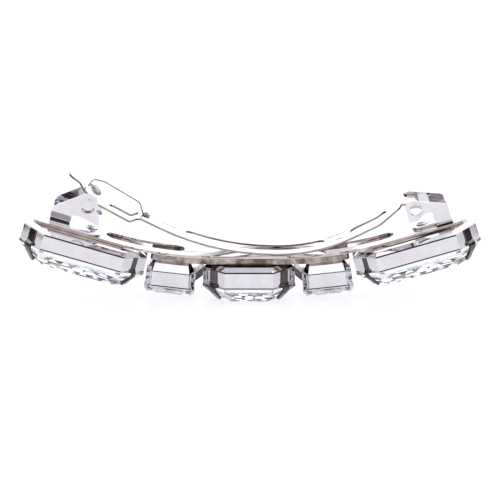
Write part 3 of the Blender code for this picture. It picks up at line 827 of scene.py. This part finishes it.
def hinge_bracket():
    """One stamped blank folded into a floor and two ears."""
    side = EAR_FACE - SHEET / 2
    corners = [(-side, EAR_BLANK, 0), (-side, 0, FOLD_RADIUS), (side, 0, FOLD_RADIUS), (side, EAR_BLANK, 0)]
    points = rounded(corners, closed=False)
    total = sum((b - a).length for a, b in zip(points, points[1:]))
    line = Line(points, start=-total / 2)
    base = line.at[-1] - EAR_BLANK - SHEET / 2 - GAP
    start, half, corner = HINGE_TONGUE
    right = [(half, start, corner), (half, HINGE_EAR[0][0], TONGUE_NOTCH)]
    right += [(base + v, u, r) for u, v, r in HINGE_EAR]
    left = [(-w, u, r) for w, u, r in reversed(right)]
    holes = [circle(side * (base + PIVOT[1]), PIVOT[0], PIN_RADIUS + GAP) for side in (-1, 1)]
    holes.append(circle(0, HINGE_RIVET_AT, RIVET_RADIUS + GAP))
    bm = wrap(sheet(rounded(right + left), holes), line)
    turned = Matrix(((0, 1, 0), (-1, 0, 0), (0, 0, 1))).to_4x4()
    place = end_frame(1) @ Matrix.Translation((0, 0, GAP + SHEET / 2)) @ turned
    obj = add_piece("hinge_bracket", bm, place=place)
    thicken(obj, SHEET)
    soften(obj, BRACKET_ROUND)


def rivet(name, side, at):
    """A rivet with a domed head on the end that side names: -1 is the catch and 1 the hinge."""
    radius, height = RIVET_HEAD
    level = SHEET + 2 * GAP
    profile = [(RIVET_RADIUS, -STRIP_THICK), (RIVET_RADIUS, level), *dome(radius, height, level)]
    obj = add_piece(name, lathe(profile), place=end_frame(side) @ Matrix.Translation((at, 0, 0)))
    soften(obj, RIVET_ROUND)


def pivot_point():
    return end_frame(1) @ Vector((PIVOT[0], 0, PIVOT[1]))


def hinge_pin():
    radius, height = PIN_HEAD
    face = EAR_FACE + GAP
    head = dome(radius, height, face)
    profile = [(r, -z) for r, z in reversed(head)] + [(PIN_RADIUS, -face), (PIN_RADIUS, face)] + head
    place = Matrix.Translation(pivot_point()) @ Matrix.Rotation(-pi / 2, 4, "X")
    soften(add_piece("hinge_pin", lathe(profile), place=place), RIVET_ROUND)


# ---------------------------------------------------------------- clasp arm and spring loop

def arm_line():
    """The arm's middle line from the thumb tab to the end of its rolled eye."""
    points = [Vector((x, z + STRIP_TOP)) for x, z in rounded(ARM_BENDS, closed=False)]
    centre = pivot_point()
    count = ceil(EYE_TURN / EYE_STEP)
    for k in range(count + 1):
        angle = pi / 2 - EYE_TURN * k / count
        points.append(Vector((centre.x + EYE_RADIUS * cos(angle), centre.z + EYE_RADIUS * sin(angle))))
    return Line(points)


def arm_outline(line):
    """The arm's blank: thumb tab, neck of the head, full width, and the narrower eye."""
    tab, neck, full = ARM_TAB_WIDTH / 2, ARM_NECK_WIDTH / 2, ARM_WIDTH / 2
    head, waist, eye = (line.length_at(x) for x in ARM_SHOULDERS)
    end = line.at[-1]
    one_side = [
        (0, tab, tab * TAB_END),
        (head - TAB_SLOPE[0], tab, TAB_SLOPE[1]), (head, neck, TAB_SLOPE[2]),
        (waist - NECK_SLOPE[0], neck, NECK_SLOPE[1]), (waist, full, NECK_SLOPE[2]),
        (eye, full, EYE_SLOPE[1]), (eye + EYE_SLOPE[0], neck, EYE_SLOPE[2]),
        (end, neck, 0),
    ]
    return rounded([(s, -y, r) for s, y, r in one_side] + list(reversed(one_side)))


def clasp_arm():
    line = arm_line()
    holes = [slot_outline(line.length_at(a), line.length_at(b), half) for a, b, half in ARM_SLOTS]
    rivet_at = line.length_at(loop_rivet_frame().translation.x)
    holes.append(circle(rivet_at, 0, LOOP_RIVET_RADIUS + GAP))
    obj = add_piece("clasp_arm", wrap(sheet(arm_outline(line), holes), line), extra=(PAINTED_EDGE_SHADE,))
    thicken(obj, ARM_THICK)
    radius, segments = ARM_ROUND
    soften(obj, radius, segments=segments)


def loop_line():
    return Line([Vector((x, z + STRIP_TOP)) for x, z in rounded(LOOP_BENDS, closed=False)])


def loop_rivet_frame():
    """The loop's rivet: its origin on the arm's middle line, and Z out of the arm."""
    line = loop_line()
    along = (line.points[1] - line.points[0]).normalized()
    out = Vector((along.y, 0, -along.x))
    foot = line.point(LOOP_RIVET_AT)
    made = Matrix((Vector((0, 1, 0)).cross(out), (0, 1, 0), out)).transposed().to_4x4()
    made.translation = Vector((foot.x, 0, foot.y)) - out * (LOOP_THICK / 2 + GAP + ARM_THICK / 2)
    return made


def spring_loop():
    line = loop_line()
    half, end = LOOP_WIDTH / 2, line.at[-1]
    foot, tip = LOOP_CORNERS
    outline = rounded([(0, -half, foot), (end, -half, tip), (end, half, tip), (0, half, foot)])
    hole = circle(LOOP_RIVET_AT, 0, LOOP_RIVET_RADIUS + GAP)
    obj = add_piece("spring_loop", wrap(sheet(outline, [hole]), line), extra=(PAINTED_EDGE_SHADE,))
    thicken(obj, LOOP_THICK)
    soften(obj, LOOP_ROUND)


def loop_rivet():
    radius, height = LOOP_RIVET_HEAD
    top = ARM_THICK / 2 + LOOP_THICK + 2 * GAP
    profile = [(LOOP_RIVET_RADIUS, -ARM_THICK / 2), (LOOP_RIVET_RADIUS, top), *dome(radius, height, top)]
    soften(add_piece("loop_rivet", lathe(profile), place=loop_rivet_frame()), RIVET_ROUND)


# ---------------------------------------------------------------- stage

def floor():
    bm = bmesh.new()
    bmesh.ops.create_grid(bm, x_segments=1, y_segments=1, size=FLOOR_SIZE)
    mesh = bpy.data.meshes.new("floor")
    bm.to_mesh(mesh)
    bm.free()
    shader = Shader("floor")
    shader.set(IOR=1.08, Emission_Strength=FLOOR_GLOW)
    mottle = shader.noise(6, detail=2.0)
    tint = shader.ramp(mottle, [(0.3, (0.93, 0.935, 0.97)), (0.7, (0.95, 0.945, 0.97))])
    shader.feed(tint, "Emission Color")
    shader.feed(shader.ramp(mottle, [(0.3, (0.2, 0.2, 0.205)), (0.7, (0.21, 0.21, 0.213))]), "Base Color")
    shader.feed(shader.levels(shader.noise(40, detail=3.0), 0.1, 0.18), "Roughness")
    mesh.materials.append(shader.material)
    obj = bpy.data.objects.new("floor", mesh)
    obj.location.z = -FLOOR_DROP
    bpy.context.scene.collection.objects.link(obj)


def world():
    """A white studio with dark ends.

    Towards -Y it is grey low down, pale above that and then dark, up to the white overhead.
    """
    made = bpy.data.worlds.new("studio")
    bpy.context.scene.world = made
    made.use_nodes = True
    nodes, links = made.node_tree.nodes, made.node_tree.links
    split = nodes.new("ShaderNodeSeparateXYZ")
    links.new(nodes.new("ShaderNodeTexCoord").outputs["Generated"], split.inputs["Vector"])

    def step(source, low, high):
        node = nodes.new("ShaderNodeMapRange")
        node.interpolation_type = "SMOOTHSTEP"
        node.inputs["From Min"].default_value = low
        node.inputs["From Max"].default_value = high
        links.new(source, node.inputs["Value"])
        return node.outputs["Result"]

    def join(kind, a, b=None):
        node = nodes.new("ShaderNodeMath")
        node.operation = kind
        links.new(a, node.inputs[0])
        if b is not None:
            links.new(b, node.inputs[1])
        return node.outputs["Value"]

    def blend(factor, low, high):
        node = nodes.new("ShaderNodeMix")
        node.data_type = "RGBA"
        for socket, colour in ((node.inputs["A"], low), (node.inputs["B"], high)):
            if isinstance(colour, tuple):
                socket.default_value = colour
            else:
                links.new(colour, socket)
        links.new(factor, node.inputs["Factor"])
        return node.outputs["Result"]

    behind = step(split.outputs["Y"], *FADE_BEHIND)
    over = step(split.outputs["Z"], *FADE_OVER)
    zenith = step(split.outputs["Z"], *FADE_ZENITH)
    level = step(split.outputs["Z"], *FADE_LEVEL)
    dark = step(split.outputs["Z"], *FADE_DARK)
    ends = step(join("ABSOLUTE", split.outputs["X"]), *FADE_ENDS)
    front = blend(dark, blend(level, STUDIO_LOW, STUDIO_FRONT), STUDIO_DARK)
    white = blend(zenith, STUDIO_WHITE, STUDIO_TOP)
    whole = blend(join("MAXIMUM", behind, over), front, white)
    links.new(blend(ends, whole, STUDIO_DARK), nodes["Background"].inputs["Color"])


def softbox(name, side):
    """A square light above, behind and to one side of the clip, aimed at it. side is -1 or 1."""
    light = bpy.data.lights.new(name, "AREA")
    light.shape = "RECTANGLE"
    light.size = light.size_y = SOFTBOX["size"]
    light.energy = SOFTBOX["power"]
    obj = bpy.data.objects.new(name, light)
    place = Vector((side * SOFTBOX["across"], SOFTBOX["back"], SOFTBOX["up"]))
    obj.location = place
    obj.rotation_euler = (-place).to_track_quat("-Z", "Y").to_euler()
    bpy.context.scene.collection.objects.link(obj)


def camera():
    made = bpy.data.cameras.new("camera")
    made.lens = VIEW_LENS
    made.sensor_width = VIEW_SENSOR
    made.clip_start, made.clip_end = VIEW_CLIP
    obj = bpy.data.objects.new("camera", made)
    target = Vector((0, 0, STRIP_TOP))
    away = Vector((0, -cos(VIEW_ELEVATION), sin(VIEW_ELEVATION)))
    obj.location = (target + away * VIEW_DISTANCE) * MM
    obj.rotation_euler = (pi / 2 - VIEW_ELEVATION, 0, 0)
    bpy.context.scene.collection.objects.link(obj)
    bpy.context.scene.camera = obj


def build():
    base_strip()
    carrier_bar()
    for name, (x, kind, lift) in SETTINGS.items():
        setting(name, x, kind, lift)
        stone(name, x, kind, lift)
    link("left", "small_left", "centre")
    link("right", "centre", "small_right")
    catch_plate()
    catch_ear("catch_ear_near", -1)
    catch_ear("catch_ear_far", 1)
    rivet("catch_rivet", -1, CATCH_RIVET_AT)
    hinge_bracket()
    rivet("hinge_rivet", 1, HINGE_RIVET_AT)
    hinge_pin()
    clasp_arm()
    spring_loop()
    loop_rivet()


build()
floor()
world()
softbox("softbox_left", -1)
softbox("softbox_right", 1)
camera()
bpy.context.scene.view_settings.view_transform = "Standard"
